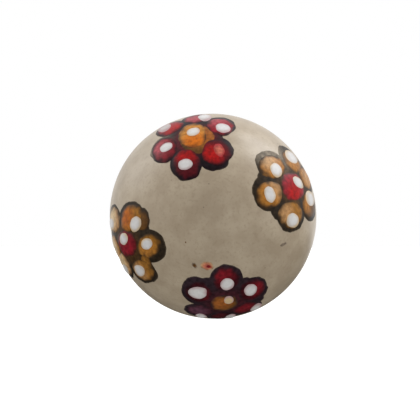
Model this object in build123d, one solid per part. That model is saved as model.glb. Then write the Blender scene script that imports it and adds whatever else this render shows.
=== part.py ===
from build123d import *
import os
from math import asin, cos, degrees, sin, sqrt, tan, radians

os.makedirs("parts", exist_ok=True)

# A hand-painted ceramic ball knob for a cabinet door, with the bolt that fastens it.
# Sizes are in millimetres and angles in degrees.
# The knob's axis is Y. The door's face is Y = 0, the ball stands at -Y, the bolt runs to +Y, Z is up.

# Ceramic ball, neck and foot
ball_diameter = 38.0
neck_diameter = 18.0
neck_length = 2.8            # neck between the collar and the ball
neck_fillet = 2.5            # hollow curve between ball and neck

# Pressed metal collar that the foot stands in
collar_sheet = 0.6           # thickness of the metal
collar_height = 4.5
collar_clearance = 0.2       # between the neck and the collar's wall
collar_bevel = 1.4           # slanted corner where the wall leaves the base, on the outside
lip_width = 1.3              # how far the lip turns out past the wall

# Bolt, set head first in cement inside the ball
thread_diameter = 4.0
thread_pitch = 0.7
thread_depth = 0.43
thread_length = 14.0         # threaded end of the bolt, the rest of its shank is plain
bolt_hole_clearance = 0.3    # between the bolt and the collar's hole, on the radius
bolt_head_flats = 7.0
bolt_head_height = 2.8
embedded_length = 15.0       # length of the bolt inside the ceramic, with its head
bolt_tip_chamfer = 0.6
cement_wall = 0.8            # cement past the corners and the end of the bolt's head

# Washer and nut, tightened against the inside of a door
door_thickness = 18.0
washer_diameter = 9.0
washer_thickness = 0.8
washer_clearance = 0.15      # between the bolt and the washer's hole, on the radius
nut_flats = 7.0
nut_height = 3.2
nut_crown_diameter = 6.6     # flat circle left on each end of the nut
nut_crown_slope = 30.0
bore_chamfer = 0.35
tail_length = 7.0            # thread left over past the nut

# Raised enamel flowers on the front half of the ball: dark ground, coloured fields over it, white dots on top
petal_width = 4.6
petal_distance = 6.4         # along the glaze from the middle of a heart to that of a petal
heart_width = 4.8
outline_width = 0.8          # dark line left showing round each petal and heart
web_width = 10.0             # dark ground between the heart and the inner ends of the petals
dot_width = 2.7
dark_height = 0.10           # how far each layer stands proud of the glaze
field_height = 0.20
dot_height = 0.30

# Each flower sits at a clock angle (from the right, anticlockwise from the front) and leans that many
# degrees from the front of the ball. Each petal and dot has a bearing around the heart (0 points away
# from the front of the ball, anticlockwise is positive) and a reach, as a share of petal_distance.
top_flower = {
    "clock": 102.5, "lean": 51.0,
    "petals": [(149, 1.00), (90, 0.94), (31, 1.06), (-9, 1.09), (-51, 1.03), (-145, 0.87)],
    "dots": [(2, 0.17), (152, 0.97), (86, 0.89), (34, 1.16), (-14, 1.19), (-58, 0.94)],
}
bottom_flower = {
    "clock": -81.0, "lean": 57.5,
    "petals": [(105, 0.78), (173, 0.98), (-127, 0.97), (-56, 1.00), (-10, 1.05), (38, 0.94)],
    "dots": [(146, 0.12), (111, 0.78), (173, 0.83), (-123, 0.94), (-50, 1.09), (-4, 1.14), (41, 1.06)],
}
left_flower = {
    "clock": 197.5, "lean": 61.0,
    "petals": [(97, 0.91), (162, 0.94), (-135, 0.89), (-53, 0.98), (-4, 1.02), (42, 0.98)],
    "dots": [(-41, 0.17), (89, 0.87), (169, 0.87), (-142, 0.83), (-46, 0.97), (42, 1.11)],
}
right_flower = {
    "clock": 20.0, "lean": 56.0,
    "petals": [(121, 0.91), (180, 1.02), (-121, 0.91), (-43, 0.91), (4, 1.06), (46, 1.00)],
    "dots": [(6, 0.17), (120, 0.78), (180, 1.00), (-116, 1.02), (-35, 0.97), (51, 1.09)],
}
red_flowers = [top_flower, bottom_flower]      # red petals round an orange heart
ochre_flowers = [left_flower, right_flower]    # ochre petals round a red heart

# Worked out from the sizes above
ball_radius = ball_diameter / 2
neck_radius = neck_diameter / 2
neck_joint = -collar_height - neck_length
ball_centre = neck_joint - sqrt(ball_radius**2 - neck_radius**2)
ball_front = ball_centre - ball_radius
foot_face = -collar_sheet
inner_bevel = collar_bevel - (2 - sqrt(2)) * collar_sheet    # keeps the sheet's thickness through the slant
collar_inner = neck_radius + collar_clearance
collar_outer = collar_inner + collar_sheet
thread_radius = thread_diameter / 2
bolt_head_corner = bolt_head_flats / 2 / cos(radians(30))
bolt_start = foot_face - embedded_length
socket_radius = bolt_head_corner + cement_wall
socket_end = bolt_start - cement_wall
washer_face = door_thickness
nut_face = washer_face + washer_thickness
bolt_end = nut_face + nut_height + tail_length

# Drawing planes: the door's face looking into the door, and the front of the ball looking at the room
door_plane = Plane(origin=(0, 0, 0), x_dir=(1, 0, 0), z_dir=(0, 1, 0))
front_plane = Plane(origin=(0, ball_centre, 0), x_dir=(1, 0, 0), z_dir=(0, -1, 0))
sideways = Rot(90, 0, 0)     # turns a sphere's poles away from the flowers


def turned(outline):
    """A solid turned about the knob's axis from a closed outline of (radius, Y) points."""
    return revolve(make_face(outline), Axis.Y)


def prism(section, start, end):
    """A section drawn on the door's plane, pushed along the knob's axis from one Y to another."""
    return extrude(door_plane.offset(start) * section, amount=end - start)


def hexagon(flats):
    return RegularPolygon(radius=flats / 2, side_count=6, major_radius=False)


def heart_place(flower):
    """Where a flower's heart sits, with X away from the front of the ball and Z straight out of the glaze."""
    return Location(front_plane) * Rot(0, 0, flower["clock"]) * Rot(0, flower["lean"], 0)


def mark_places(flower, marks):
    """The same for petals or dots, given as bearings round the heart and shares of the petals' reach."""
    heart = heart_place(flower)
    lean = degrees(petal_distance / ball_radius)
    return [heart * Rot(0, 0, bearing) * Rot(0, reach * lean, 0) for bearing, reach in marks]


def enamel(drawing, under, over):
    """A flat drawing laid on the ball as a layer of enamel between two heights above the glaze."""
    shell = sideways * Sphere(ball_radius + over) - sideways * Sphere(ball_radius + under)
    return (extrude(drawing, amount=2 * ball_radius) & shell).solids()[0]


def dark_ground(flower):
    """One flower's dark ground, which shows as a line round every field and between heart and petals."""
    drawing = Circle(web_width / 2) + Circle(heart_width / 2 + outline_width)
    for bearing, reach in flower["petals"]:
        distance = ball_radius * sin(reach * petal_distance / ball_radius)
        drawing += Rot(0, 0, bearing) * Pos(distance, 0) * Circle(petal_width / 2 + outline_width)
    return heart_place(flower) * enamel(drawing, 0, dark_height)


def petals(flowers):
    petal = enamel(Circle(petal_width / 2), dark_height, field_height)
    return [place * petal for flower in flowers for place in mark_places(flower, flower["petals"])]


def hearts(flowers):
    heart = enamel(Circle(heart_width / 2), dark_height, field_height)
    return [heart_place(flower) * heart for flower in flowers]


def dots(flowers):
    dot = enamel(Circle(dot_width / 2), field_height, dot_height)
    return [place * dot for flower in flowers for place in mark_places(flower, flower["dots"])]


def socket_room():
    """The blind hole in the ceramic that holds the bolt's head and its cement."""
    return prism(Circle(socket_radius), socket_end, foot_face)


def ceramic_knob(socket):
    """Ball, neck and foot in one piece, with the blind socket in its foot."""
    neck_angle = degrees(asin(neck_radius / ball_radius))
    ball_arc = CenterArc((0, ball_centre), ball_radius, -90, 180 - neck_angle)
    neck_and_foot = Polyline((neck_radius, neck_joint), (neck_radius, foot_face), (0, foot_face))
    axis_edge = Line((0, foot_face), (0, ball_front))
    section = make_face([ball_arc, neck_and_foot, axis_edge])
    section = fillet(section.vertices().sort_by_distance((neck_radius, neck_joint))[0], neck_fillet)
    section = chamfer(section.vertices().sort_by_distance((neck_radius, foot_face))[0], inner_bevel)
    return revolve(section, Axis.Y) - socket


def base_collar():
    """A pressed cup: flat base on the door, wall round the neck, lip turned out at the front."""
    hole = thread_radius + bolt_hole_clearance
    lip = collar_outer + lip_width
    outline = Polyline(
        (hole, 0),
        (collar_outer - collar_bevel, 0),
        (collar_outer, -collar_bevel),
        (collar_outer, collar_sheet - collar_height),
        (lip, collar_sheet - collar_height),
        (lip, -collar_height),
        (collar_inner, -collar_height),
        (collar_inner, -collar_sheet - inner_bevel),
        (collar_inner - inner_bevel, -collar_sheet),
        (hole, -collar_sheet),
        close=True,
    )
    return turned(outline)


def set_bolt():
    """A hexagon-headed bolt: the head keys into the cement, the thread takes the nut. Each turn of the
    thread is a ring with the thread's pitch and depth."""
    head = prism(hexagon(bolt_head_flats), bolt_start, bolt_start + bolt_head_height)
    turns = round(thread_length / thread_pitch)
    thread_end = bolt_end - bolt_tip_chamfer
    outline = [(0, bolt_end), (0, bolt_start), (thread_radius, bolt_start)]
    for turn in range(turns):
        crest = thread_end - (turns - turn) * thread_pitch
        outline += [(thread_radius, crest), (thread_radius - thread_depth, crest + thread_pitch / 2)]
    outline += [(thread_radius, thread_end), (thread_radius - bolt_tip_chamfer, bolt_end)]
    return head + turned(Polyline(*outline, close=True))


def washer():
    ring = Circle(washer_diameter / 2) - Circle(thread_radius + washer_clearance)
    return prism(ring, washer_face, nut_face)


def hex_nut():
    """A hexagon nut crowned on both ends, with its bore eased where the thread starts."""
    far_face = nut_face + nut_height
    crown = nut_crown_diameter / 2
    cone_reach = crown + nut_height / 2 / tan(radians(nut_crown_slope))
    crowned = Polyline(
        (0, nut_face),
        (crown, nut_face),
        (cone_reach, nut_face + nut_height / 2),
        (crown, far_face),
        (0, far_face),
        close=True,
    )
    bore = Polyline(
        (0, nut_face),
        (thread_radius + bore_chamfer, nut_face),
        (thread_radius, nut_face + bore_chamfer),
        (thread_radius, far_face - bore_chamfer),
        (thread_radius + bore_chamfer, far_face),
        (0, far_face),
        close=True,
    )
    return (prism(hexagon(nut_flats), nut_face, far_face) & turned(crowned)) - turned(bore)


socket = socket_room()
bolt = set_bolt()
all_flowers = red_flowers + ochre_flowers
pieces = {
    "ceramic_knob": ceramic_knob(socket),
    "dark_outlines": Compound(children=[dark_ground(flower) for flower in all_flowers]),
    "red_enamel": Compound(children=petals(red_flowers) + hearts(ochre_flowers)),
    "ochre_enamel": Compound(children=petals(ochre_flowers) + hearts(red_flowers)),
    "white_dots": Compound(children=dots(all_flowers)),
    "base_collar": base_collar(),
    "set_bolt": bolt,
    "setting_cement": socket - bolt,
    "washer": washer(),
    "hex_nut": hex_nut(),
}

for name, piece in pieces.items():
    export_step(piece, f"parts/{name}.step")
    size = piece.bounding_box().size
    print(f"{name}: {piece.volume:.1f} mm3, {size.X:.2f} x {size.Y:.2f} x {size.Z:.2f} mm")
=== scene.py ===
# %% [markdown]
# # A hand-painted ceramic cabinet knob
# The knob is a ball of ceramic, glazed in a warm grey and painted by hand with four flowers. A bolt is
# set in its back, and a pressed collar hides the joint with the door. Solids at real size give the place
# of each piece. This lesson makes what the eye sees: the slightly uneven ball, paint that lies on it in
# thin layers, and plated metal. One unit is a metre, Z is up, the door's face is Y = 0 and the ball
# stands in front of it, at -Y.

# %% Load the solids
from collections import namedtuple
from math import atan2, cos, hypot, pi, radians, sin, sqrt, tan

import bmesh
import bpy
from mathutils import Matrix, Vector, noise


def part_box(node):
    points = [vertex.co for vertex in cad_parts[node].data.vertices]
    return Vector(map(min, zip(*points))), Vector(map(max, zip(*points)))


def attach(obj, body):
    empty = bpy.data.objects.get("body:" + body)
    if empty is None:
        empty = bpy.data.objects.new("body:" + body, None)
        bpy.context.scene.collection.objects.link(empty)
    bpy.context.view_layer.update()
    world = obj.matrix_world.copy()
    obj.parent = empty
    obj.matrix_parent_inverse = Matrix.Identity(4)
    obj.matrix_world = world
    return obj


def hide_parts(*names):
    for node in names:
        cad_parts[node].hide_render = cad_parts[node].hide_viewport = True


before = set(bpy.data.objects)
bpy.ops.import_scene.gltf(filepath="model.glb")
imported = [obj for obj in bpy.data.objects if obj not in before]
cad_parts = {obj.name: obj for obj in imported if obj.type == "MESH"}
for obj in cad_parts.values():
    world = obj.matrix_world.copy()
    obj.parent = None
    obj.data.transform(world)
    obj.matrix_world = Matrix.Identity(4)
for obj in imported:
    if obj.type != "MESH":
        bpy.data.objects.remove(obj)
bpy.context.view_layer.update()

MM = 0.001
print("solids:", sorted(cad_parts))

# %% [markdown]
# ## Helpers for shaders
# Colours are written as sRGB hex values, as a paint chart gives them, and shaders want linear light, so
# one function turns the one into the other. A second one adds a shader node with its settings and links,
# which keeps each material readable as a list of nodes.

# %% Colour and node helpers
def linear(hex_colour):
    """A hex colour in linear light, by the curve of the sRGB standard."""
    channels = [int(hex_colour[at:at + 2], 16) / 255 for at in (1, 3, 5)]
    return Vector([c / 12.92 if c <= 0.04045 else ((c + 0.055) / 1.055) ** 2.4 for c in channels])


def rgba(hex_colour):
    return (*linear(hex_colour), 1.0)


# Sockets of a Mix node that mixes colours
MIX_SHARE, MIX_FIRST, MIX_SECOND, MIX_RESULT = 0, 6, 7, 2


def add_node(tree, kind, values=None, links=None, **properties):
    """A new node: its properties, its sockets' values, and links from other nodes' sockets to its own."""
    node = tree.nodes.new(kind)
    for name, value in properties.items():
        setattr(node, name, value)
    for socket, value in (values or {}).items():
        node.inputs[socket].default_value = value
    for socket, source in (links or {}).items():
        tree.links.new(source, node.inputs[socket])
    return node


def new_material(name, **values):
    """A material with a Principled shader whose plain sockets are set directly."""
    material = bpy.data.materials.new(name)
    material.use_nodes = True
    shader = material.node_tree.nodes["Principled BSDF"]
    for socket, value in values.items():
        shader.inputs[socket.replace("_", " ")].default_value = value
    return material, material.node_tree, shader


print("a colour in linear light:", [round(c, 3) for c in linear("#a5957d")])

# %% [markdown]
# ## Helpers for turned pieces
# Most of a knob is turned: a half-section swept once round the axis. The section is drawn like a pen
# stroke in the plane Z = 0, with X as the radius. A straight stroke adds a vertex and an edge, and a round
# one spins its end vertex about a centre, so an arc needs no list of points. A full spin about Y then
# makes the piece. Its seam is merged, and its normals are turned outwards after that.

# %% Pen strokes and the spin
ROUND_STEPS = 160            # facets round the axis
SEAM = 0.0002 * MM           # vertices nearer to each other than this become one


def stroke_start(bm, radius, along):
    return bm.verts.new((radius, along, 0))


def stroke_to(bm, end, *points):
    """Straight strokes from a vertex through (radius, Y) points."""
    for radius, along in points:
        vertex = bm.verts.new((radius, along, 0))
        bm.edges.new((end, vertex))
        end = vertex
    return end


def stroke_round(bm, end, centre, turn, steps):
    """An arc from a vertex about a (radius, Y) centre. A positive turn is anticlockwise, in radians."""
    made = bmesh.ops.spin(bm, geom=[end], cent=(*centre, 0), axis=(0, 0, 1), angle=turn, steps=steps)
    return next(item for item in made["geom_last"] if isinstance(item, bmesh.types.BMVert))


def turn_on_axis(bm, steps=ROUND_STEPS):
    bmesh.ops.spin(bm, geom=bm.verts[:] + bm.edges[:], cent=(0, 0, 0), axis=(0, 1, 0),
                   angle=2 * pi, steps=steps, use_merge=True)


def make_piece(bm, name, node, material, crease=40):
    """The finished bmesh as a piece that rides on the knob and stands for one of its solids."""
    bmesh.ops.remove_doubles(bm, verts=bm.verts, dist=SEAM)
    bmesh.ops.recalc_face_normals(bm, faces=bm.faces)
    mesh = bpy.data.meshes.new(name)
    bm.to_mesh(mesh)
    bm.free()
    mesh.shade_smooth()
    mesh.set_sharp_from_angle(angle=radians(crease))
    mesh.materials.append(material)
    piece = bpy.data.objects.new(name, mesh)
    bpy.context.scene.collection.objects.link(piece)
    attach(piece, "root")
    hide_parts(node)
    size = [round(side / MM, 2) for side in piece.dimensions]
    print(f"{name}: {len(mesh.polygons)} faces, {size} mm")
    return piece


print("a turned piece has", ROUND_STEPS, "facets round its axis")

# %% [markdown]
# ## The ball's glaze
# The knob is earthenware under a glossy transparent glaze. Clay shows through it as soft clouds a few
# millimetres wide, a finer grain, and here and there a dark speck of iron. The clouds and the grain are
# two noises on Object coordinates that mix three near greys. Specks are the small centres of a cell
# pattern. The glaze itself is the shader's own gloss with a faint unevenness, as glaze has where it ran.

# %% Glazed earthenware
def glazed_earthenware():
    """Fired clay under a clear gloss: the eye sees soft clouds, a fine grain and a few specks of iron."""
    cloud_size, grain_size, speck_spacing, ripple_size = 3.4 * MM, 0.5 * MM, 3.2 * MM, 2.4 * MM
    clay_dark, clay_light, grain_colour, iron = "#9d8d77", "#ab9c86", "#8f7f69", "#4a3c2c"
    cloud_stops = (0.36, 0.66)
    material, tree, shader = new_material("glazed_earthenware", Roughness=0.34, IOR=1.5)
    place = add_node(tree, "ShaderNodeTexCoord").outputs["Object"]
    clouds = add_node(tree, "ShaderNodeTexNoise", {"Scale": 1 / cloud_size, "Detail": 3.0}, {"Vector": place})
    cloudy = add_node(tree, "ShaderNodeValToRGB", links={"Fac": clouds.outputs["Fac"]})
    for stop, position, colour in zip(cloudy.color_ramp.elements, cloud_stops, (clay_dark, clay_light)):
        stop.color = rgba(colour)
        stop.position = position
    grain = add_node(tree, "ShaderNodeTexNoise", {"Scale": 1 / grain_size, "Detail": 2.0}, {"Vector": place})
    grain_mask = add_node(tree, "ShaderNodeMapRange", {"From Min": 0.52, "From Max": 0.74, "To Max": 0.5},
                          {"Value": grain.outputs["Fac"]})
    grained = add_node(tree, "ShaderNodeMix", {MIX_SECOND: rgba(grain_colour)},
                       {MIX_SHARE: grain_mask.outputs["Result"], MIX_FIRST: cloudy.outputs["Color"]},
                       data_type="RGBA")
    cells = add_node(tree, "ShaderNodeTexVoronoi", {"Scale": 1 / speck_spacing, "Randomness": 1.0},
                     {"Vector": place})
    specks = add_node(tree, "ShaderNodeMapRange",
                      {"From Min": 0.035, "From Max": 0.055, "To Min": 0.45, "To Max": 0.0},
                      {"Value": cells.outputs["Distance"]})
    specked = add_node(tree, "ShaderNodeMix", {MIX_SECOND: rgba(iron)},
                       {MIX_SHARE: specks.outputs["Result"], MIX_FIRST: grained.outputs[MIX_RESULT]},
                       data_type="RGBA")
    tree.links.new(specked.outputs[MIX_RESULT], shader.inputs["Base Color"])
    ripple = add_node(tree, "ShaderNodeTexNoise", {"Scale": 1 / ripple_size, "Detail": 1.0},
                      {"Vector": place})
    bump = add_node(tree, "ShaderNodeBump", {"Strength": 0.25, "Distance": 0.05 * MM},
                    {"Height": ripple.outputs["Fac"]})
    tree.links.new(bump.outputs["Normal"], shader.inputs["Normal"])
    return material


glaze = glazed_earthenware()
print("material:", glaze.name)

# %% [markdown]
# ## The ball, its neck and its foot
# The ball was thrown or pressed and trimmed by hand, so it is a little oval. A plain sphere could stand
# for it, but then neck and foot would be separate lumps. One half-section holds it all: the ball's arc,
# the hollow curve into the neck, the foot with its slanted edge, and the blind socket for the bolt. The
# unevenness is a function of direction that only takes material off, and the paint uses it too, so that
# paint and glaze stay together.

# %% Sizes of the ball and its unevenness
knob_low, knob_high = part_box("ceramic_knob")
cement_low, cement_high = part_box("setting_cement")
BALL_RADIUS = 19.0 * MM
BALL_CENTRE = Vector((0, knob_low.y + BALL_RADIUS, 0))
NECK_RADIUS = 9.0 * MM
NECK_HOLLOW = 2.5 * MM
FOOT_BEVEL = 1.05 * MM
SOCKET_RADIUS = cement_high.x
OVAL_SHORT = 0.11 * MM       # how much the short way across lacks, on each side of the mean
OVAL_LONG_WAY = radians(-26)  # the long way across, anticlockwise from the right
WAVES = 0.03 * MM            # gentle waves left by the trimming
WAVE_SIZE = 14 * MM
TRUE_FROM = BALL_CENTRE.y + 9 * MM      # from here to the foot the knob is true to its turning
TRUE_FADE = 6 * MM           # the unevenness fades out over this length before it


def uneven(point):
    """A point on or near the perfect ball, moved inwards to where the real, uneven ball has it."""
    spoke = point - BALL_CENTRE
    around = atan2(spoke.z, spoke.x) - OVAL_LONG_WAY
    sideways = (spoke.x**2 + spoke.z**2) / spoke.length_squared
    short = OVAL_SHORT * (1 - cos(2 * around)) * sideways
    waves = WAVES * (1 + noise.noise(spoke / WAVE_SIZE))
    fade = min(1, max(0, (TRUE_FROM - point.y) / TRUE_FADE))
    return point - spoke.normalized() * (short + waves) * fade


print("ball:", 2 * BALL_RADIUS / MM, "mm across, its middle at Y", round(BALL_CENTRE.y / MM, 2), "mm")

# %% Turn the ball
BALL_STEPS = 110             # facets along the ball's arc
HOLLOW_STEPS = 12
BALL_ROUND_STEPS = 192       # facets round the axis


def glazed_ball():
    bm = bmesh.new()
    hollow_reach = NECK_RADIUS + NECK_HOLLOW
    hollow_along = BALL_CENTRE.y + sqrt((BALL_RADIUS + NECK_HOLLOW) ** 2 - hollow_reach**2)
    meeting = atan2(hollow_reach, hollow_along - BALL_CENTRE.y)      # where ball and hollow touch
    ball_turn = pi - meeting
    hollow_turn = pi / 2 - meeting
    end = stroke_start(bm, 0, knob_low.y)
    end = stroke_round(bm, end, (0, BALL_CENTRE.y), ball_turn, BALL_STEPS)
    end = stroke_round(bm, end, (hollow_reach, hollow_along), -hollow_turn, HOLLOW_STEPS)
    stroke_to(bm, end, (NECK_RADIUS, knob_high.y - FOOT_BEVEL), (NECK_RADIUS - FOOT_BEVEL, knob_high.y),
              (SOCKET_RADIUS, knob_high.y), (SOCKET_RADIUS, cement_low.y), (0, cement_low.y))
    turn_on_axis(bm, BALL_ROUND_STEPS)
    for vertex in bm.verts:
        vertex.co = uneven(vertex.co)
    return make_piece(bm, "glazed_ball", "ceramic_knob", glaze)


glazed_ball()

# %% [markdown]
# ## Paints
# The flowers are brushed in thick enamel. One touch of a loaded brush isn't one flat colour: it is dark at
# its rim, where it ran into the wet outline, and its bright spot is partly paint that stood deep and partly
# a painted highlight, the gloss's sheen. Each touch mixes two paints from a small palette, and its vertices
# keep the mix in a colour attribute named pigment. The material reads that attribute and adds fine
# streaks, so one enamel serves many touches.

# %% The palette and the enamel
PALETTE = {
    "plum_black": "#1a0f15", "damson": "#2b1e24", "bitumen": "#2a2117", "smoke": "#75685a",
    "oxblood": "#380a12", "maroon": "#4d0c15", "garnet": "#70121c", "crimson": "#821522", "ruby": "#8e2430",
    "scarlet": "#98100f", "rose": "#9c4149", "blush": "#b0604f", "plum": "#5a3544", "mauve": "#a98a8b",
    "umber": "#5a3a15", "bronze": "#8c5d20", "russet": "#91521d", "ochre": "#9c6627", "amber": "#b0752d",
    "sienna": "#a5560d", "orange": "#b9600d", "rust": "#a3452a", "tan": "#a87e52", "buff": "#b08a60",
    "cream": "#bfa67f", "shell": "#b6b0ad", "chalk": "#cac8c7", "glaze": "#a2937d",
}
paint = {name: linear(colour) for name, colour in PALETTE.items()}


def brushed_enamel(name, roughness, streak_depth, ior):
    """Thick enamel: colour from the touches themselves, fine streaks and a brushed, uneven skin. It is
    duller than the glaze, so dark paint stays dark."""
    streak_size, skin_size = 0.7 * MM, 0.9 * MM
    material, tree, shader = new_material(name, Roughness=roughness, IOR=ior)
    pigment = add_node(tree, "ShaderNodeAttribute", attribute_name="pigment")
    place = add_node(tree, "ShaderNodeTexCoord").outputs["Object"]
    streaks = add_node(tree, "ShaderNodeTexNoise", {"Scale": 1 / streak_size, "Detail": 2.0},
                       {"Vector": place})
    least, most = 1 - streak_depth, 1 + streak_depth
    thickness = add_node(tree, "ShaderNodeMapRange",
                         {"From Min": 0.3, "From Max": 0.7, "To Min": least, "To Max": most},
                         {"Value": streaks.outputs["Fac"]})
    streaked = add_node(tree, "ShaderNodeMix", {MIX_SHARE: 1.0},
                        {MIX_FIRST: pigment.outputs["Color"], MIX_SECOND: thickness.outputs["Result"]},
                        data_type="RGBA", blend_type="MULTIPLY")
    tree.links.new(streaked.outputs[MIX_RESULT], shader.inputs["Base Color"])
    skin = add_node(tree, "ShaderNodeTexNoise", {"Scale": 1 / skin_size, "Detail": 2.0}, {"Vector": place})
    bump = add_node(tree, "ShaderNodeBump", {"Strength": 0.3, "Distance": 0.06 * MM},
                    {"Height": skin.outputs["Fac"]})
    tree.links.new(bump.outputs["Normal"], shader.inputs["Normal"])
    return material


dark_enamel = brushed_enamel("dark_brushed_enamel", roughness=0.4, streak_depth=0.4, ior=1.2)
red_enamel = brushed_enamel("red_brushed_enamel", roughness=0.36, streak_depth=0.35, ior=1.2)
ochre_enamel = brushed_enamel("ochre_brushed_enamel", roughness=0.38, streak_depth=0.3, ior=1.22)
white_enamel = brushed_enamel("white_brushed_enamel", roughness=0.42, streak_depth=0.06, ior=1.4)
print("paints:", len(paint))

# %% [markdown]
# ## The four flowers
# Each flower is drawn flat, as if seen straight on, in millimetres from the middle of its heart: to the
# right, and outwards, away from the front of the ball. A touch is an oval with a length, a width and a
# turn, its deep and bright paints, and the spot where the bright paint is strongest. That bright spot is
# partly paint that stood deep and partly a painted highlight, the gloss's sheen. A flower's place on the
# ball is its clock angle, anticlockwise from the right, and how far it leans from the front.
#
# A hand doesn't paint four equal flowers, so each has a list of its own touches. Its dark line has a
# width. Blots are where the dark paint spread past that line. Thin spots lighten the line towards the
# glaze's colour: they are partly paint brushed thin and partly a painted highlight, the gloss's sheen on
# the dark paint. Its white drops end in a halo, the paint that thin white turns into.

# %% Touches of the brush
# The last two fields place a touch's bright spot: partly thick paint, partly a painted highlight of the
# gloss's sheen.
Touch = namedtuple("Touch", "right out length width turn deep bright glow_right glow_out")
Blot = namedtuple("Blot", "right out length width turn")
# A thin spot lightens the dark line: partly paint brushed thin, partly a painted highlight of the gloss's
# sheen.
ThinAndSheen = namedtuple("ThinAndSheen", "right out reach")


def drop(right, out, length, width, turn, deep="shell", bright="chalk"):
    """A drop of white, brightest in its middle."""
    return Touch(right, out, length, width, turn, deep, bright, 0, 0)


def touch_count(flower):
    return len(flower["petals"]) + len(flower["wash"]) + len(flower["dots"]) + 1


print("a drop of white:", drop(0, 0, 3.5, 3.0, 0))

# %% The top flower
TOP_FLOWER = {
    "clock": 102.5, "lean": 49.4, "line": 0.36,
    "ground": "plum_black", "between": "garnet", "halo": "mauve",
    "petals": [
        Touch(-2.7, -5.2, 7.0, 5.5, 5, "maroon", "scarlet", 0.5, 2.0),
        Touch(-6.1, 0.3, 7.1, 5.1, 6, "garnet", "rose", -1.0, 0.8),
        Touch(-4.3, 6.9, 6.9, 5.3, 15, "crimson", "scarlet", 0.6, -0.9),
        Touch(0.9, 8.2, 6.3, 5.1, -5, "maroon", "rose", -0.7, -0.6),
        Touch(5.0, 3.6, 6.9, 5.3, -10, "crimson", "rose", -0.7, 1.6),
        Touch(3.2, -3.9, 6.7, 5.9, -15, "maroon", "scarlet", -1.1, -0.8),
    ],
    "heart": Touch(-0.4, 1.5, 8.7, 5.8, 2, "amber", "orange", 0.0, -2.1),
    "wash": [Touch(0.2, 0.2, 10.4, 8.1, 4, "umber", "russet", 2.2, 0.4)],
    "blots": [Blot(2.6, -6.0, 4.4, 5.0, 0)],
    # This thin spot is partly thin paint, partly a painted highlight of the lamp's sheen on the dark line.
    "thin_and_sheen": [ThinAndSheen(-9.0, 3.0, 6.0)],
    "dots": [
        drop(-2.9, -5.4, 3.5, 2.9, 65),
        drop(-5.7, 0.4, 3.3, 2.9, 45),
        drop(-5.3, 8.0, 5.5, 3.1, 8, "mauve", "shell"),
        drop(2.4, 8.0, 4.7, 2.9, -3),
        drop(5.3, 2.6, 3.9, 3.2, -5),
        drop(-0.2, 2.2, 3.3, 3.1, -20, "cream", "chalk"),
    ],
}
print("top flower:", touch_count(TOP_FLOWER), "touches")

# %% The right flower
RIGHT_FLOWER = {
    "clock": 20.0, "lean": 54.4, "line": 0.6,
    "ground": "bitumen", "between": "umber", "halo": "cream",
    "petals": [
        Touch(-4.8, -2.5, 7.1, 5.0, 5, "ochre", "buff", -1.5, -0.4),
        Touch(-0.2, -6.2, 6.6, 5.1, 12, "ochre", "tan", -0.8, 1.8),
        Touch(4.6, -2.3, 7.1, 5.2, -8, "bronze", "tan", -0.8, -1.7),
        Touch(4.2, 4.6, 6.9, 5.1, -5, "umber", "ochre", -0.6, -1.8),
        Touch(-0.8, 6.9, 6.7, 4.9, 0, "ochre", "tan", 0.0, 0.0),
        Touch(-4.6, 4.6, 7.1, 5.3, 5, "bronze", "ochre", 0.9, -0.6),
    ],
    "heart": Touch(-0.1, 0.4, 7.9, 5.9, 0, "ruby", "scarlet", 1.4, -0.4),
    "wash": [Touch(3.2, -0.6, 6.0, 3.6, 0, "bitumen", "umber", 0.2, -0.4)],
    "blots": [
        Blot(-5.4, -2.7, 6.6, 4.6, 5),
        Blot(-4.4, 1.2, 3.4, 3.2, 0),
        Blot(-5.3, 4.2, 6.6, 5.0, 5),
        Blot(-3.0, -5.4, 3.4, 3.0, 0),
        Blot(-1.2, -6.8, 5.2, 4.6, 0),
        Blot(3.2, -5.2, 3.4, 3.0, 0),
        Blot(4.5, -3.9, 4.2, 3.6, 0),
    ],
    # This thin spot is partly thin paint, partly a painted highlight of the lamp's sheen on the dark line.
    "thin_and_sheen": [ThinAndSheen(-8.2, -1.0, 6.5)],
    "dots": [
        drop(-4.1, -2.3, 3.7, 3.2, 20),
        drop(-0.2, -6.3, 3.8, 3.0, 85),
        drop(5.6, -2.3, 4.2, 3.0, -15),
        drop(3.2, 5.4, 5.5, 3.2, -3),
        drop(-5.3, 5.2, 6.0, 3.5, 2),
        drop(-0.5, 2.2, 3.9, 2.6, -28),
    ],
}
print("right flower:", touch_count(RIGHT_FLOWER), "touches")

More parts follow.
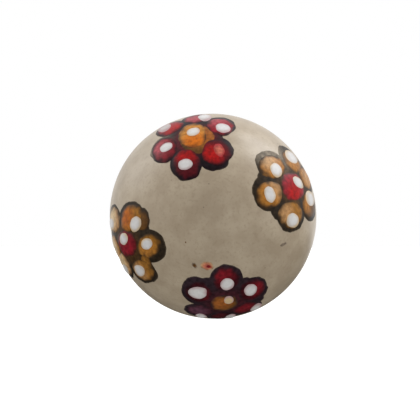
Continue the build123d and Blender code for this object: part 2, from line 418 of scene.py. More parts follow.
# %% The left flower
LEFT_FLOWER = {
    "clock": 197.9, "lean": 59.1, "line": 0.5,
    "ground": "bitumen", "between": "umber", "halo": "cream",
    "petals": [
        Touch(-5.5, -0.6, 7.1, 4.8, 8, "bronze", "tan", 0.1, 1.2),
        Touch(-1.6, -5.3, 6.2, 4.7, 8, "bronze", "ochre", -0.8, 0.2),
        Touch(4.2, -2.6, 7.3, 5.3, 10, "bronze", "sienna", 0.5, 1.2),
        Touch(5.0, 4.2, 6.7, 5.1, -5, "tan", "cream", 0.6, 0.4),
        Touch(0.2, 6.7, 6.3, 4.9, 0, "ochre", "cream", 0.0, 0.4),
        Touch(-3.4, 5.6, 6.5, 5.1, 8, "tan", "cream", 0.8, 0.2),
    ],
    "heart": Touch(0.1, 0.7, 7.5, 5.6, 0, "garnet", "crimson", -1.1, -0.4),
    "wash": [
        Touch(-4.2, -2.9, 4.3, 2.8, 50, "umber", "bronze", 0.0, 0.0),
        Touch(3.3, -5.3, 4.3, 4.1, 0, "umber", "umber", 0, 0),
    ],
    "blots": [
        Blot(-6.2, -2.0, 4.0, 3.6, 0),
        Blot(-1.7, -6.0, 6.6, 5.6, 8),
        Blot(1.9, -5.4, 2.8, 3.0, 0),
        Blot(3.4, -5.8, 3.0, 3.6, 0),
        Blot(4.3, -4.4, 3.0, 3.0, 0),
    ],
    # This thin spot is partly thin paint, partly a painted highlight where the gloss is bright near the
    # ball's edge.
    "thin_and_sheen": [ThinAndSheen(0.0, 10.0, 5.0)],
    "dots": [
        drop(-5.4, 0.2, 4.5, 2.8, 10),
        drop(-1.1, -5.3, 3.5, 2.5, 8),
        drop(3.1, -3.8, 3.8, 2.9, 20),
        drop(4.5, 5.6, 4.7, 2.6, -5),
        drop(-4.4, 6.4, 4.3, 2.5, 8),
        drop(1.0, 0.9, 4.2, 2.5, 8),
    ],
}
print("left flower:", touch_count(LEFT_FLOWER), "touches")

# %% The bottom flower
BOTTOM_FLOWER = {
    "clock": -81.0, "lean": 56.8, "line": 0.62,
    "ground": "damson", "between": "maroon", "halo": "mauve",
    "petals": [
        Touch(-4.9, -1.4, 6.7, 5.3, 5, "oxblood", "garnet", -1.4, -0.2),
        Touch(-0.6, -6.1, 6.3, 5.3, 0, "oxblood", "garnet", 0.6, -1.3),
        Touch(4.9, -3.2, 6.1, 5.3, -15, "oxblood", "maroon", -2.0, 0.6),
        Touch(5.2, 3.6, 6.3, 5.1, -5, "oxblood", "plum", 0.3, -0.6),
        Touch(1.2, 6.5, 5.9, 5.1, 0, "plum_black", "maroon", 0.6, -0.4),
        Touch(-3.4, 4.6, 6.5, 5.1, 10, "oxblood", "garnet", 0.3, -0.6),
    ],
    "heart": Touch(0.5, 0.4, 6.2, 5.4, 5, "umber", "russet", 0.6, -0.2),
    "wash": [],
    "blots": [
        Blot(-4.9, 2.0, 3.0, 3.0, 0),
        Blot(-3.4, -4.2, 2.2, 2.6, 0),
        Blot(3.0, -5.4, 2.8, 3.0, 0),
        Blot(5.0, -4.6, 5.0, 4.6, 0),
    ],
    "thin_and_sheen": [],
    "dots": [
        drop(-4.7, -1.9, 4.1, 3.0, 5),
        drop(-0.6, -5.2, 3.5, 3.1, -5),
        drop(5.0, -3.3, 4.4, 3.8, -45),
        drop(5.2, 6.0, 4.3, 2.3, 0),
        drop(-0.2, 7.4, 4.3, 2.3, 0),
        drop(-5.2, 6.0, 4.5, 2.5, 0),
        drop(-0.4, -0.6, 2.8, 2.1, 5, "cream", "cream"),
    ],
}
print("bottom flower:", touch_count(BOTTOM_FLOWER), "touches")

# %% All four flowers
FLOWERS = {"top": TOP_FLOWER, "right": RIGHT_FLOWER, "left": LEFT_FLOWER, "bottom": BOTTOM_FLOWER}
print("touches in all:", sum(touch_count(flower) for flower in FLOWERS.values()))

# %% [markdown]
# ## From a flat drawing to the ball
# A flower is drawn flat, but the glaze is round. Projecting the drawing straight onto the ball would
# stretch it on the far side. So a point keeps its bearing from the heart, and its distance is measured
# along the glaze, as with a paper shape that is pressed onto a ball from its middle. It also gets a height
# above the glaze, because each paint lies over the one before.

# %% Lay a point on the ball
FACING = Matrix(((1, 0, 0), (0, 0, -1), (0, 1, 0))).to_4x4()      # X stays right, Y turns up, Z to the room
HEART_EDGE = 1e-9            # a point nearer than this to the heart counts as the heart


def flower_place(clock, lean):
    """X away from the front of the ball, Z straight out of the glaze, at the flower's heart."""
    turned = Matrix.Rotation(radians(clock), 4, "Z") @ Matrix.Rotation(radians(lean), 4, "Y")
    return Matrix.Translation(BALL_CENTRE) @ FACING @ turned


def heart_place(flower):
    return flower_place(flower["clock"], flower["lean"])


def lay_on_ball(place, right, out, height):
    """A point of a flat drawing, in metres, laid along the glaze at a height above it."""
    reach = max(hypot(right, out), HEART_EDGE)
    bend = reach / BALL_RADIUS
    spoke = Vector((sin(bend) * out / reach, -sin(bend) * right / reach, cos(bend)))
    return uneven(place @ (spoke * (BALL_RADIUS + height)))


for name, flower in FLOWERS.items():
    heart = lay_on_ball(heart_place(flower), 0, 0, 0)
    print(name, "heart at", [round(c / MM, 1) for c in heart], "mm")

# %% [markdown]
# ## One touch of the brush
# A touch is a lens: flat underneath, domed on top, thin at its rim. The unit lens is a half-section spun
# into a disc of radius 1, with its upper skin at Z = 1 and its underside at Z = -1. Then each vertex moves
# to its place: the disc is stretched to the touch's outline, with a slight tremble of the hand, laid along
# the ball and lifted to its height. A Shrinkwrap modifier could lay it on too, but it would not keep the
# dome. Working on the vertices keeps both, and gives the rim its darker paint on the way. A little noise
# in where that rim starts makes it ragged, as wet paint is that has run into its neighbour.

# %% The unit lens and the layers of paint
UNDER_RINGS = 4
LENS_SEAM = 1e-6             # vertices of the unit lens nearer than this become one


def unit_lens(rings, segments):
    """A closed disc of radius 1, kept as a mesh to be copied for each touch."""
    bm = bmesh.new()
    upper = [sin(pi / 2 * ring / rings) for ring in range(rings)]
    under = [1 - ring / UNDER_RINGS for ring in range(UNDER_RINGS + 1)]
    section = [bm.verts.new((radius, 0, 1)) for radius in upper]
    section += [bm.verts.new((radius, 0, -1)) for radius in under]
    edges = [bm.edges.new(pair) for pair in zip(section, section[1:])]
    bmesh.ops.spin(bm, geom=section + edges, axis=(0, 0, 1), angle=2 * pi, steps=segments, use_merge=True)
    bmesh.ops.remove_doubles(bm, verts=bm.verts, dist=LENS_SEAM)
    mesh = bpy.data.meshes.new("unit_lens")
    bm.to_mesh(mesh)
    bm.free()
    return mesh


# Underside and top stand at heights above the glaze. A higher dome number gives a flatter top with a
# steeper rim. Tremble is the hand's, as a share of the reach. The rim starts at a share of the way out.
Layer = namedtuple("Layer", "under top dome disc tremble rim_starts rim_strength ragged")
GROUND = Layer(under=-0.03 * MM, top=0.10 * MM, dome=8, disc=unit_lens(26, 288), tremble=0.035,
               rim_starts=0.94, rim_strength=0.4, ragged=0)
WASH = Layer(under=0.05 * MM, top=0.13 * MM, dome=4, disc=unit_lens(12, 64), tremble=0.03,
             rim_starts=0.7, rim_strength=0.9, ragged=0.15)
FIELD = Layer(under=0.06 * MM, top=0.20 * MM, dome=4, disc=unit_lens(14, 64), tremble=0.05,
              rim_starts=0.64, rim_strength=0.95, ragged=0.17)
DROP = Layer(under=0.08 * MM, top=0.27 * MM, dome=4, disc=unit_lens(12, 48), tremble=0.035,
             rim_starts=0.5, rim_strength=0.95, ragged=0.2)
STRAY = Layer(under=-0.03 * MM, top=0.05 * MM, dome=3, disc=unit_lens(8, 32), tremble=0.12,
              rim_starts=0.45, rim_strength=0.75, ragged=0)
print("layers stand", [round(layer.top / MM, 2) for layer in (STRAY, GROUND, WASH, FIELD, DROP)], "mm high")

# %% Brush one touch
TREMBLE_WAVES = 1.5          # slow waves in a touch's outline
TREMBLE_GAIN = 2             # noise seldom reaches 1, so it is doubled
RAGGED_WAVES = 0.9           # waves of its rim paint, to a millimetre
# The bright spot fades over this span; it is partly thick paint and partly a painted highlight.
THICK_AND_SHEEN_FADE = (0.1, 0.62)           # the bright paint fades between these shares of a touch's width


def smooth_step(low, high, value):
    share = min(1, max(0, (value - low) / (high - low)))
    return share * share * (3 - 2 * share)


def lens_on_ball(bm, place, layer, outline, centre, colour):
    """One lens. The outline gives (right, out) from the centre in metres for a bearing in radians, and
    colour gives the paint for an offset from the centre in millimetres and a share of the way to the rim."""
    pigment = bm.verts.layers.float_color.get("pigment") or bm.verts.layers.float_color.new("pigment")
    before = len(bm.verts)
    bm.from_mesh(layer.disc)
    bm.verts.ensure_lookup_table()
    for vertex in bm.verts[before:]:
        share = hypot(vertex.co.x, vertex.co.y)
        right, out = outline(atan2(vertex.co.y, vertex.co.x))
        right, out = right * share, out * share
        height = layer.under
        if vertex.co.z > 0:
            height += (layer.top - layer.under) * (1 - share**layer.dome)
        vertex[pigment] = (*colour(right / MM, out / MM, share), 1.0)
        vertex.co = lay_on_ball(place, centre[0] + right, centre[1] + out, height)


def brush_touch(bm, place, touch, layer, rim_paint):
    """A touch of the brush as an oval lens whose rim runs into the paint round it."""
    turn = radians(touch.turn)
    seed = Vector((touch.right, touch.out, touch.length))

    def outline(bearing):
        spot = Vector((cos(bearing), sin(bearing), 0)) * TREMBLE_WAVES
        hand = 1 + TREMBLE_GAIN * layer.tremble * noise.noise(seed + spot)
        along = hand * touch.length / 2 * cos(bearing)
        across = hand * touch.width / 2 * sin(bearing)
        return (across * cos(turn) - along * sin(turn)) * MM, (along * cos(turn) + across * sin(turn)) * MM

    def colour(right, out, share):
        share += layer.ragged * noise.noise(seed + Vector((right, out, 0)) * RAGGED_WAVES)
        # The bright spot is partly thick paint and partly a painted highlight of the gloss's sheen.
        thick_and_sheen_distance = hypot(right - touch.glow_right, out - touch.glow_out) / touch.width
        body = paint[touch.deep].lerp(paint[touch.bright], 1 - smooth_step(*THICK_AND_SHEEN_FADE, thick_and_sheen_distance))
        return body.lerp(paint[rim_paint], layer.rim_strength * smooth_step(layer.rim_starts, 1, share))

    lens_on_ball(bm, place, layer, outline, (touch.right * MM, touch.out * MM), colour)


print("the bright paint of a touch fades between", THICK_AND_SHEEN_FADE, "of its width")

# %% [markdown]
# ## Dark grounds
# Each flower starts as one dark shape that later shows as the line round every petal. It could be drawn
# as a line of its own round each petal, but lines that cross would cut through each other. Seen from the
# heart every point of its edge lies in a clear line, so the shape is one lens whose rim reaches, in each
# direction, as far as the widest of the ovals round the petals and of the blots, or the ground round the
# heart. The very rim mixes in some of the glaze's colour. So do the thin spots, which are partly paint
# brushed thin and partly a painted highlight, the gloss's sheen on the dark line. A few stray spots of dark
# and red lie beside the flowers, where a loaded brush touched the glaze by chance.

# %% How far a dark ground reaches
LINE_SHIFT = 0.30            # the dark line is wider on a petal's outer side, in millimetres
HEART_GROUND = 5.2           # radius of the dark ground round a heart


def reach_across(oval, bearing, line):
    """How far from the heart the dark line round an oval reaches in one direction, or 0 where it doesn't."""
    outwards = 1 + LINE_SHIFT / hypot(oval.right, oval.out)
    turn = radians(oval.turn)
    length, width = oval.length / 2 + line, oval.width / 2 + line

    def to_circle(right, out):
        along, across = out * cos(turn) - right * sin(turn), right * cos(turn) + out * sin(turn)
        return Vector((along / length, across / width))

    start = to_circle(-oval.right * outwards, -oval.out * outwards)
    way = to_circle(cos(bearing), sin(bearing))
    half = start.dot(way) / way.dot(way)
    room = half**2 - (start.dot(start) - 1) / way.dot(way)
    return sqrt(room) - half if room > 0 else 0


petal = TOP_FLOWER["petals"][0]
reach = reach_across(petal, atan2(petal.out, petal.right), TOP_FLOWER["line"])
print("the top flower's ground reaches", round(reach, 1), "mm towards the front of the ball")

# %% Brush the dark grounds
GROUND_OUT = 0.35            # the petals sit this much nearer to the front of the ball than their ground
BETWEEN = (2.5, 5.5)         # the paint between heart and petals fades out between these distances
BETWEEN_SHARE = 0.45
# Thin spots lighten the dark line: partly thin paint, partly a painted highlight of the gloss's sheen.
THIN_AND_SHEEN_SHARE = 0.42            # how much glaze shows where the dark paint was brushed thin
THIN_AND_SHEEN_CORE = 0.3              # share of a thin spot's reach over which it is thinnest
SLOW_WAVES, QUICK_WAVES = 3, 9
QUICK_SHARE = 0.6            # how strong the quick waves of the outline are beside the slow ones


def dark_ground(bm, flower):
    place = heart_place(flower)

    def outline(bearing):
        reaches = [reach_across(oval, bearing, flower["line"]) for oval in flower["petals"] + flower["blots"]]
        spot = Vector((cos(bearing), sin(bearing), flower["clock"]))
        waves = noise.noise(spot * SLOW_WAVES) + QUICK_SHARE * noise.noise(spot * QUICK_WAVES)
        reach = max(HEART_GROUND, *reaches) * (1 + GROUND.tremble * waves) * MM
        return reach * cos(bearing), reach * sin(bearing)

    def colour(right, out, share):
        inner = 1 - smooth_step(*BETWEEN, hypot(right, out))
        body = paint[flower["ground"]].lerp(paint[flower["between"]], BETWEEN_SHARE * inner)
        clear = GROUND.rim_strength * smooth_step(GROUND.rim_starts, 1, share)
        # Thin spots: partly thin paint, partly a painted highlight where the gloss's sheen lies on the dark
        # line.
        for spot in flower["thin_and_sheen"]:
            distance = hypot(right - spot.right, out - spot.out) / spot.reach
            clear = max(clear, THIN_AND_SHEEN_SHARE * (1 - smooth_step(THIN_AND_SHEEN_CORE, 1, distance)))
        return body.lerp(paint["glaze"], clear)

    lens_on_ball(bm, place, GROUND, outline, (0, GROUND_OUT * MM), colour)


Stray = namedtuple("Stray", "clock lean length width turn deep bright")
STRAY_STEP = 0.015 * MM      # one stray mark stands this much above the one before
DARK_STRAYS = [
    Stray(-110.6, 30.2, 1.7, 1.0, 54, "smoke", "umber"),
    Stray(223.7, 21.2, 0.4, 0.3, 60, "umber", "umber"),
    Stray(-21.5, 46.7, 1.9, 0.8, 37, "smoke", "smoke"),
]
RED_STRAYS = [
    Stray(-96.8, 28.8, 2.8, 2.0, 85, "tan", "blush"),
    Stray(-95.0, 28.8, 1.7, 1.0, 80, "rust", "garnet"),
]


def stray_marks(bm, strays):
    """Small spots of paint that fade into the glaze. Each lies a little higher than the one before."""
    for number, stray in enumerate(strays):
        layer = STRAY._replace(top=STRAY.top + number * STRAY_STEP)
        touch = Touch(0, 0, stray.length, stray.width, stray.turn, stray.deep, stray.bright, 0, 0)
        brush_touch(bm, flower_place(stray.clock, stray.lean), touch, layer, "glaze")


grounds = bmesh.new()
for flower in FLOWERS.values():
    dark_ground(grounds, flower)
stray_marks(grounds, DARK_STRAYS)
make_piece(grounds, "brushed_outlines", "dark_outlines", dark_enamel)

# %% [markdown]
# ## Petals and hearts
# Petals and hearts are touches of red or ochre over the dark ground. Two flowers have red petals round an
# orange heart, two have ochre petals round a red one, so each colour is one piece with petals of two
# flowers and hearts of the other two. Thin washes of brown lie between some of them, where ochre was
# brushed out into the dark. One red petal has a pale pink streak over it and no white drop.

# %% Brush the petals, hearts and washes
RED_FLOWERS, OCHRE_FLOWERS = ("top", "bottom"), ("left", "right")
PALE_STREAK = Touch(3.7, -3.8, 4.5, 2.9, 4, "rose", "blush", 0, 0)
STREAK = FIELD._replace(top=0.23 * MM, rim_starts=0.2)      # over the petal, and soft to its very rim


def brush_all(bm, names, kind, layer):
    for name in names:
        flower = FLOWERS[name]
        touches = [flower["heart"]] if kind == "heart" else flower[kind]
        for touch in touches:
            brush_touch(bm, heart_place(flower), touch, layer, flower["ground"])


reds = bmesh.new()
brush_all(reds, RED_FLOWERS, "petals", FIELD)
brush_all(reds, OCHRE_FLOWERS, "heart", FIELD)
brush_touch(reds, heart_place(TOP_FLOWER), PALE_STREAK, STREAK, "scarlet")
stray_marks(reds, RED_STRAYS)
make_piece(reds, "red_touches", "red_enamel", red_enamel)

ochres = bmesh.new()
brush_all(ochres, RED_FLOWERS + OCHRE_FLOWERS, "wash", WASH)
brush_all(ochres, OCHRE_FLOWERS, "petals", FIELD)
brush_all(ochres, RED_FLOWERS, "heart", FIELD)
make_piece(ochres, "ochre_touches", "ochre_enamel", ochre_enamel)

# %% [markdown]
# ## White dots
# Last of all, a drop of thick white goes on almost every petal and heart. It stands highest of the paints,
# so it is the same kind of lens with a taller dome. Where the white runs thin the paint below tints it, so
# its rim goes over into the flower's halo: a dull pink on the red flowers, cream on the ochre ones.

# %% Set the white dots
whites = bmesh.new()
for flower in FLOWERS.values():
    for dot in flower["dots"]:
        brush_touch(whites, heart_place(flower), dot, DROP, flower["halo"])
make_piece(whites, "white_drops", "white_dots", white_enamel)

# %% [markdown]
# ## Plated metal
# Collar, bolt, washer and nut are steel with a thin plating. Nickel on the collar is warm and bright, zinc
# on the bolt, washer and nut is bluish and softer. Both are metals, so the base colour is the colour of
# the reflection. A fine noise breaks up the roughness, as handling and the plating bath do. The cement in
# the ball's socket is dull and sandy, and a noise between two greys is enough for it.

# %% Nickel, zinc and cement
def plated_metal(name, colour, roughness, haze_size, haze):
    """Plated steel: the eye sees its tinted reflections, clear in one place and hazy in the next."""
    material, tree, shader = new_material(name, Metallic=1.0, Base_Color=rgba(colour))
    place = add_node(tree, "ShaderNodeTexCoord").outputs["Object"]
    mottle = add_node(tree, "ShaderNodeTexNoise", {"Scale": 1 / haze_size, "Detail": 3.0}, {"Vector": place})
    dull = add_node(tree, "ShaderNodeMapRange",
                    {"From Min": 0.3, "From Max": 0.7, "To Min": roughness, "To Max": roughness + haze},
                    {"Value": mottle.outputs["Fac"]})
    tree.links.new(dull.outputs["Result"], shader.inputs["Roughness"])
    return material


def set_cement():
    """Grey setting cement: the eye sees a dull, sandy, uneven grey."""
    sand_size = 0.6 * MM
    dark_sand, light_sand = "#8d8a83", "#b5b1a8"
    material, tree, shader = new_material("set_cement", Roughness=0.9)
    place = add_node(tree, "ShaderNodeTexCoord").outputs["Object"]
    sand = add_node(tree, "ShaderNodeTexNoise", {"Scale": 1 / sand_size, "Detail": 4.0}, {"Vector": place})
    tint = add_node(tree, "ShaderNodeMix", {MIX_FIRST: rgba(dark_sand), MIX_SECOND: rgba(light_sand)},
                    {MIX_SHARE: sand.outputs["Fac"]}, data_type="RGBA")
    tree.links.new(tint.outputs[MIX_RESULT], shader.inputs["Base Color"])
    return material


nickel = plated_metal("nickel_plated_steel", "#d8d2c6", roughness=0.16, haze_size=1.5 * MM, haze=0.1)
zinc = plated_metal("zinc_plated_steel", "#c9ccd0", roughness=0.26, haze_size=0.8 * MM, haze=0.14)
cement = set_cement()
print("materials:", [material.name for material in (nickel, zinc, cement)])

# %% [markdown]
# ## The collar
# The collar is pressed from thin sheet: a base with a hole for the bolt, a wall round the neck, and a lip
# that turns out towards the ball. Pressed sheet has round bends. They are drawn into the section as arcs,
# which gives them an exact radius. A Bevel modifier on a square section would round inner and outer bends
# by the same amount, and the sheet would change its thickness there.

# %% Press the collar
collar_low, collar_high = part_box("base_collar")
SHEET = 0.6 * MM
BASE_BEND = 0.9 * MM         # inside radius between base and wall
LIP_BEND = 0.35 * MM         # radius under the lip
COLLAR_HOLE = 2.3 * MM
COLLAR_WALL = 9.2 * MM       # inside radius of the wall
WIDE_BEND_STEPS, TIGHT_BEND_STEPS, LIP_STEPS = 8, 6, 10


def pressed_collar():
    bm = bmesh.new()
    outer_bend, wall, lip, front = BASE_BEND + SHEET, COLLAR_WALL + SHEET, collar_high.x, collar_low.y
    lip_round = SHEET / 2
    first = stroke_start(bm, COLLAR_HOLE, 0)
    end = stroke_to(bm, first, (wall - outer_bend, 0))
    end = stroke_round(bm, end, (wall - outer_bend, -outer_bend), -pi / 2, WIDE_BEND_STEPS)
    end = stroke_to(bm, end, (wall, front + SHEET + LIP_BEND))
    end = stroke_round(bm, end, (wall + LIP_BEND, front + SHEET + LIP_BEND), pi / 2, TIGHT_BEND_STEPS)
    end = stroke_to(bm, end, (lip - lip_round, front + SHEET))
    end = stroke_round(bm, end, (lip - lip_round, front + lip_round), -pi, LIP_STEPS)
    inner_bend = LIP_BEND + SHEET
    end = stroke_to(bm, end, (COLLAR_WALL + inner_bend, front))
    end = stroke_round(bm, end, (COLLAR_WALL + inner_bend, front + inner_bend), -pi / 2, WIDE_BEND_STEPS)
    end = stroke_to(bm, end, (COLLAR_WALL, -SHEET - BASE_BEND))
    end = stroke_round(bm, end, (COLLAR_WALL - BASE_BEND, -SHEET - BASE_BEND), pi / 2, TIGHT_BEND_STEPS)
    end = stroke_to(bm, end, (COLLAR_HOLE, -SHEET))
    bm.edges.new((end, first))
    turn_on_axis(bm)
    return make_piece(bm, "pressed_collar", "base_collar", nickel)


pressed_collar()

# %% [markdown]
# ## The bolt and its thread
# The bolt has a plain shank and a rolled M4 thread on its last 14 mm. The thread could be a bump, but its
# outline shows against the light, so it is geometry: one turn's section spun as a helix, each turn one
# pitch further on, so that the end of one turn meets the start of the next. The groove is shallow where
# the thread begins and the vertices there move out to the plain shank. Two cuts with planes make the ends
# square, and the tip is drawn in to a chamfer.

# %% Wind the thread
bolt_low, bolt_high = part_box("set_bolt")
PITCH = 0.7 * MM
THREAD_RADIUS = 2.0 * MM
THREAD_DEPTH = 0.43 * MM
THREAD_LENGTH = 14.0 * MM
FLANK_SLOPE = radians(30)    # each side of the thread leans this much from square to the axis
FLANK = THREAD_DEPTH * tan(FLANK_SLOPE)
CREST = PITCH / 8
HEAD_HEIGHT = 2.8 * MM
TIP_CHAMFER = 0.6 * MM
STEPS_PER_TURN = 36
SPARE_TURNS = 3              # wound past the two ends, then cut off
THREAD_SEAM = 0.001 * MM     # the end of one turn meets the start of the next within this
CUT_SEAM = 1e-7              # vertices nearer than this to a cut lie on it


def cut_square(bm, along, side):
    """Cuts the mesh square to the axis, takes away what lies on one side, and closes the end."""
    made = bmesh.ops.bisect_plane(bm, geom=bm.verts[:] + bm.edges[:] + bm.faces[:], plane_co=(0, along, 0),
                                  plane_no=(0, side, 0), clear_outer=True, dist=CUT_SEAM)
    rim = [item for item in made["geom_cut"] if isinstance(item, bmesh.types.BMEdge)]
    bmesh.ops.edgenet_fill(bm, edges=rim)


def threaded_bolt():
    bm = bmesh.new()
    shank_start = bolt_low.y + HEAD_HEIGHT
    tip_start = bolt_high.y - TIP_CHAMFER
    thread_start = tip_start - THREAD_LENGTH
    root = THREAD_RADIUS - THREAD_DEPTH
    turns = int((bolt_high.y - shank_start) / PITCH) + SPARE_TURNS
    begin = tip_start - (turns - SPARE_TURNS / 2) * PITCH
    first = stroke_start(bm, root, begin)
    crest_start = begin + PITCH - FLANK - CREST
    stroke_to(bm, first, (root, crest_start - FLANK), (THREAD_RADIUS, crest_start),
              (THREAD_RADIUS, crest_start + CREST), (root, begin + PITCH))
    bmesh.ops.spin(bm, geom=bm.verts[:] + bm.edges[:], cent=(0, 0, 0), axis=(0, 1, 0),
                   dvec=(0, PITCH / STEPS_PER_TURN, 0), angle=2 * pi * turns, steps=STEPS_PER_TURN * turns)
    bmesh.ops.remove_doubles(bm, verts=bm.verts, dist=THREAD_SEAM)
    cut_square(bm, shank_start, -1)
    cut_square(bm, bolt_high.y, 1)
    for vertex in bm.verts:
        radius = hypot(vertex.co.x, vertex.co.z)
        started = smooth_step(thread_start - PITCH, thread_start + PITCH, vertex.co.y)
        groove = (THREAD_RADIUS - radius) * started
        wanted = THREAD_RADIUS - max(groove, vertex.co.y - tip_start, 0)
        vertex.co.x *= wanted / radius
        vertex.co.z *= wanted / radius
    head = bmesh.ops.create_cone(bm, cap_ends=True, segments=6, radius1=bolt_high.x, radius2=bolt_high.x,
                                 depth=HEAD_HEIGHT)["verts"]
    lie_along = Matrix.Rotation(radians(90), 4, "Y") @ Matrix.Rotation(radians(-90), 4, "X")
    bmesh.ops.transform(bm, matrix=lie_along, verts=head)
    bmesh.ops.translate(bm, vec=(0, bolt_low.y + HEAD_HEIGHT / 2, 0), verts=head)
    return make_piece(bm, "threaded_bolt", "set_bolt", zinc, crease=25)


threaded_bolt()

# %% [markdown]
# ## Washer, nut and cement
# The washer is a stamped ring with slightly rolled edges, turned like the collar. The nut's own solid
# already has the crowned hexagon and the bore, and the cement is hidden behind the collar, so both stay as
# they are and only get their finishes.

# %% Stamp the washer and finish the nut and the cement
washer_low, washer_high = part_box("washer")
WASHER_HOLE = 2.15 * MM
WASHER_ROLL = 0.2 * MM
WASHER_STEPS = 96            # facets round the axis
ROLL_STEPS = 5


def stamped_washer():
    bm = bmesh.new()
    edge = washer_high.x - WASHER_ROLL
    first = stroke_start(bm, WASHER_HOLE, washer_low.y)
    end = stroke_to(bm, first, (edge, washer_low.y))
    end = stroke_round(bm, end, (edge, washer_low.y + WASHER_ROLL), pi / 2, ROLL_STEPS)
    end = stroke_to(bm, end, (washer_high.x, washer_high.y - WASHER_ROLL))
    end = stroke_round(bm, end, (edge, washer_high.y - WASHER_ROLL), pi / 2, ROLL_STEPS)
    end = stroke_to(bm, end, (WASHER_HOLE, washer_high.y))
    bm.edges.new((end, first))
    turn_on_axis(bm, WASHER_STEPS)
    return make_piece(bm, "stamped_washer", "washer", zinc)


def finish_solid(node, material):
    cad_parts[node].data.materials.clear()
    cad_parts[node].data.materials.append(material)
    print(f"{node}: {material.name}")


stamped_washer()
finish_solid("hex_nut", zinc)
finish_solid("setting_cement", cement)

# %% [markdown]
# ## Floor, backdrop and light
# The knob is shown on plain white. The world gives an even, soft light. To the camera, to reflections and
# through glass it is white at strength 1. What it sheds on the knob is a little weaker and set on its own.
# The floor is a pale card that glows a little to the same rays and still takes the knob's shadow.
#
# A large soft lamp stands high on the right, and a bigger, weaker one on the left. A third, weak one by the
# camera only brightens the colours: it doesn't show in the gloss, where it would be a white square. Black
# cards on the viewer's side and below are seen only by reflections, and keep dark paint dark, as such cards
# do in a studio.

# %% White world and stage planes
SOFT_LIGHT = 0.86            # the world's own light on the knob


def background_rays(tree):
    """1 for the rays that show the background: the camera's own, reflections, and those through glass."""
    path = add_node(tree, "ShaderNodeLightPath").outputs
    seen = add_node(tree, "ShaderNodeMath", links={0: path["Is Camera Ray"], 1: path["Is Glossy Ray"]})
    shown = add_node(tree, "ShaderNodeMath", links={0: seen.outputs[0], 1: path["Is Transmission Ray"]},
                     use_clamp=True)
    return shown.outputs[0]


def white_world():
    world = bpy.data.worlds.new("white_studio")
    bpy.context.scene.world = world
    world.use_nodes = True
    tree = world.node_tree
    tree.nodes.clear()
    level = add_node(tree, "ShaderNodeMapRange", {"To Min": SOFT_LIGHT, "To Max": 1.0},
                     {"Value": background_rays(tree)})
    light = add_node(tree, "ShaderNodeBackground", {"Color": (1, 1, 1, 1)}, {"Strength": level.outputs[0]})
    add_node(tree, "ShaderNodeOutputWorld", links={"Surface": light.outputs[0]})


def stage_plane(name, side, place, material):
    bm = bmesh.new()
    bmesh.ops.create_grid(bm, x_segments=1, y_segments=1, size=side / 2)
    bmesh.ops.transform(bm, matrix=place, verts=bm.verts)
    mesh = bpy.data.meshes.new(name)
    bm.to_mesh(mesh)
    bm.free()
    mesh.materials.append(material)
    plane = bpy.data.objects.new(name, mesh)
    bpy.context.scene.collection.objects.link(plane)
    return plane


white_world()
print("world light on the knob:", SOFT_LIGHT)

# %% Floor, cards and lamps
FLOOR_DROP = 75 * MM         # the floor lies this far below the knob's axis
FLOOR_SIDE = 30.0
FLOOR_GLOW = 0.8
CARD_SIDE = 1.1
CARD_RISE = 5 * MM           # the lower card lies this far above the floor
FRONT_CARD_AT = (0, -0.5, 0.05)
LOWER_CARD_AT = (0.1, -0.1, CARD_RISE - FLOOR_DROP)


def pale_floor():
    """White card: dull and even to the eye, with just enough glow of its own to meet the white world."""
    material, tree, shader = new_material("white_card", Base_Color=rgba("#c8c8c6"), Roughness=0.9)
    shader.inputs["Emission Color"].default_value = (1, 1, 1, 1)
    glow = add_node(tree, "ShaderNodeMath", {1: FLOOR_GLOW}, {0: background_rays(tree)}, operation="MULTIPLY")
    tree.links.new(glow.outputs[0], shader.inputs["Emission Strength"])
    stage_plane("floor", FLOOR_SIDE, Matrix.Translation((0, 0, -FLOOR_DROP)), material)


def black_card(name, place):
    """A card of matt black paper that only reflections see."""
    material = new_material("black_card", Base_Color=rgba("#050505"), Roughness=1.0)[0]
    card = stage_plane(name, CARD_SIDE, place, material)
    card.visible_camera = card.visible_diffuse = card.visible_shadow = card.visible_transmission = False


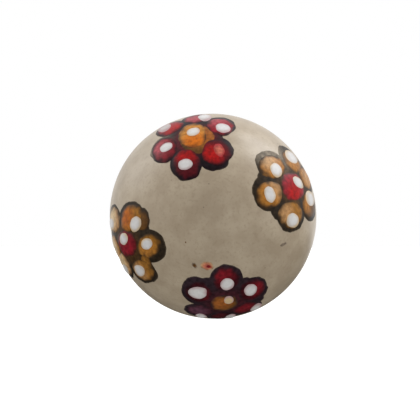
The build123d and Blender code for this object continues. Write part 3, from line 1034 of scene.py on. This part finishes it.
def soft_lamp(name, place, size, power):
    """A square lamp that faces the ball."""
    lamp = bpy.data.lights.new(name, "AREA")
    lamp.shape, lamp.size, lamp.energy = "SQUARE", size, power
    lamp_object = bpy.data.objects.new(name, lamp)
    lamp_object.location = BALL_CENTRE + Vector(place)
    lamp_object.rotation_euler = (-Vector(place)).to_track_quat("-Z", "Y").to_euler()
    lamp_object.visible_camera = False
    bpy.context.scene.collection.objects.link(lamp_object)
    return lamp_object


pale_floor()
black_card("front_card", Matrix.Translation(FRONT_CARD_AT) @ Matrix.Rotation(radians(90), 4, "X"))
black_card("lower_card", Matrix.Translation(LOWER_CARD_AT))
soft_lamp("key_lamp", place=(0.34, 0.12, 0.42), size=0.36, power=1.85)
soft_lamp("left_lamp", place=(-0.46, 0.16, 0.38), size=0.42, power=0.95)
front_lamp = soft_lamp("front_lamp", place=(0.1, -0.9, -0.15), size=0.6, power=2.0)
front_lamp.visible_glossy = False
bpy.context.scene.view_settings.view_transform = "Standard"
print("floor at", -FLOOR_DROP / MM, "mm")

# %% [markdown]
# ## Camera
# The photograph looks straight at the front of the ball from a step away with a long lens, so the camera
# stands almost on the knob's axis. The ball's outline in the picture fixes the rest: its width gives the
# focal length, and its middle, a little right of and below the picture's middle, gives the small shift of
# the camera to the left and up.

# %% Place the camera
PICTURE = 420                # pixels each way
BALL_AT = (213.0, 216.2)     # middle of the ball's outline, in pixels
BALL_PIXELS = 103.7          # half the ball's long way across, in pixels
CAMERA_DISTANCE = 1.5        # in metres
SENSOR_WIDTH = 36            # in millimetres, as lenses are
camera_data = bpy.data.cameras.new("camera")
camera = bpy.data.objects.new("camera", camera_data)
bpy.context.scene.collection.objects.link(camera)
focal_pixels = BALL_PIXELS * sqrt(CAMERA_DISTANCE**2 - BALL_RADIUS**2) / BALL_RADIUS
camera_data.sensor_width = SENSOR_WIDTH
camera_data.lens = focal_pixels * SENSOR_WIDTH / PICTURE
per_pixel = CAMERA_DISTANCE / focal_pixels
camera.location = BALL_CENTRE + Vector(((PICTURE / 2 - BALL_AT[0]) * per_pixel, -CAMERA_DISTANCE,
                                        (BALL_AT[1] - PICTURE / 2) * per_pixel))
camera.rotation_euler = (radians(90), 0, 0)
camera_data.dof.use_dof = False
bpy.context.scene.camera = camera
print("lens", round(camera_data.lens, 1), "mm")

# %% [markdown]
# ## Finish
# The size of the dressed knob has to stay within the solids' own box.

# %% Finish
bpy.context.view_layer.update()
